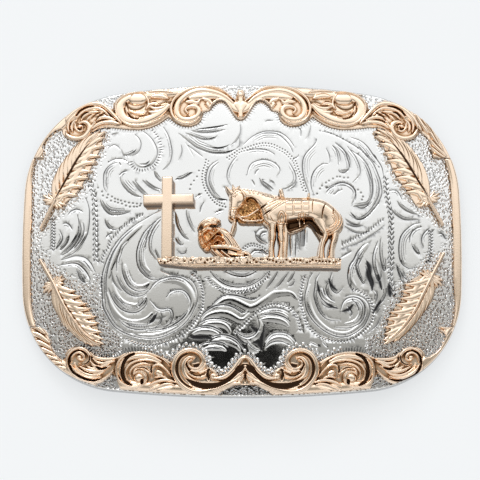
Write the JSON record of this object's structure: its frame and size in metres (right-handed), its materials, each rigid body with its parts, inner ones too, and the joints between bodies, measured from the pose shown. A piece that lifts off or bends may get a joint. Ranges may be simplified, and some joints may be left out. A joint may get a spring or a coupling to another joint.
{
  "type": "western belt buckle",
  "caption": "Western trophy belt buckle: bent oval-cornered silver plate with scroll border, feathers and a raised kneeling figure, horse and cross, with hook and belt loop behind.",
  "frame": {"origin": "under the middle of the plate, at the level of the lowest point of its edge, where it rests on a table", "axes": "lies face up: +Z out of the face, +Y towards the top edge, +X towards the right side edge as seen from the front"},
  "size_m": [0.108, 0.0778, 0.0124],
  "materials": {
    "engraved_silver": "bright polished silver plate, engraved, with stippled ground in the corners",
    "rose_gold": "polished rose-gold plate, darkened in the recesses",
    "back_metal": "satin silver plate"
  },
  "bodies": {
    "root": {"plate": "engraved_silver", "border_top": "rose_gold", "border_bottom": "rose_gold", "side_bar_left": "rose_gold", "side_bar_right": "rose_gold", "feather_upper_left": "rose_gold", "feather_upper_right": "rose_gold", "feather_lower_left": "rose_gold", "feather_lower_right": "rose_gold", "cross": "rose_gold", "kneeling_figure": "rose_gold", "horse": "rose_gold", "ground_bar": "rose_gold", "hook": "back_metal", "belt_loop": "back_metal"}
  },
  "joints": []
}
